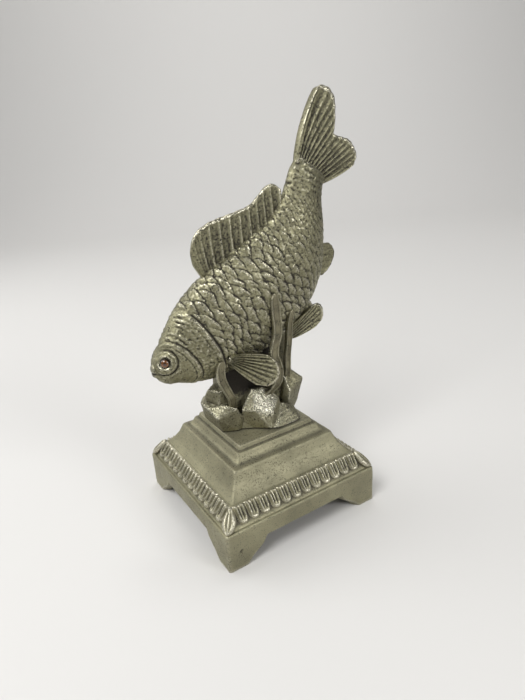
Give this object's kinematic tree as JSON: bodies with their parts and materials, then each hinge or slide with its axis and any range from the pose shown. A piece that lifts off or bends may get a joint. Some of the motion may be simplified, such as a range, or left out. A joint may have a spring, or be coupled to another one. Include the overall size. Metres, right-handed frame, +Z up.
{
  "type": "fish figurine",
  "caption": "Cast metal carp with glass eyes, arched tail up over a pile of rocks and water weed, on a square stepped plinth with a carved band and bracket feet.",
  "frame": {"origin": "under the middle of the whole figurine's outline, on the level of the plinth's soles", "axes": "+Z up, +X from the fish's head towards its tail, +Y towards the fish's right flank"},
  "size_m": [0.1116, 0.08, 0.1843],
  "materials": {
    "cast_body": "silver-grey white brass, dark patina in the grooves, burnished on the ridges",
    "cast_fins": "silver-grey white brass, burnished rays over a dark grainy web",
    "cast_weeds": "silver-grey white brass, bright rims",
    "cast_rocks": "silver-grey white brass, matt, speckled with dark patina",
    "cast_plinth": "silver-grey white brass, satin, speckled with dark patina",
    "eye_glass": "polished amber-red glass",
    "fastener_steel": "plain zinc-plated steel"
  },
  "bodies": {
    "root": {"fish_body": "cast_body", "dorsal_fin": "cast_fins", "tail_fin": "cast_fins", "anal_fin": "cast_fins", "left_pelvic_fin": "cast_fins", "right_pelvic_fin": "cast_fins", "left_pectoral_fin": "cast_fins", "right_pectoral_fin": "cast_fins", "near_weed": "cast_weeds", "far_weed": "cast_weeds", "front_weed": "cast_weeds", "rock_mound": "cast_rocks", "plinth": "cast_plinth", "left_eye": "eye_glass", "right_eye": "eye_glass", "tie_stud": "fastener_steel", "tie_washer": "fastener_steel", "tie_nut": "fastener_steel", "locating_pins": "fastener_steel"}
  },
  "joints": []
}
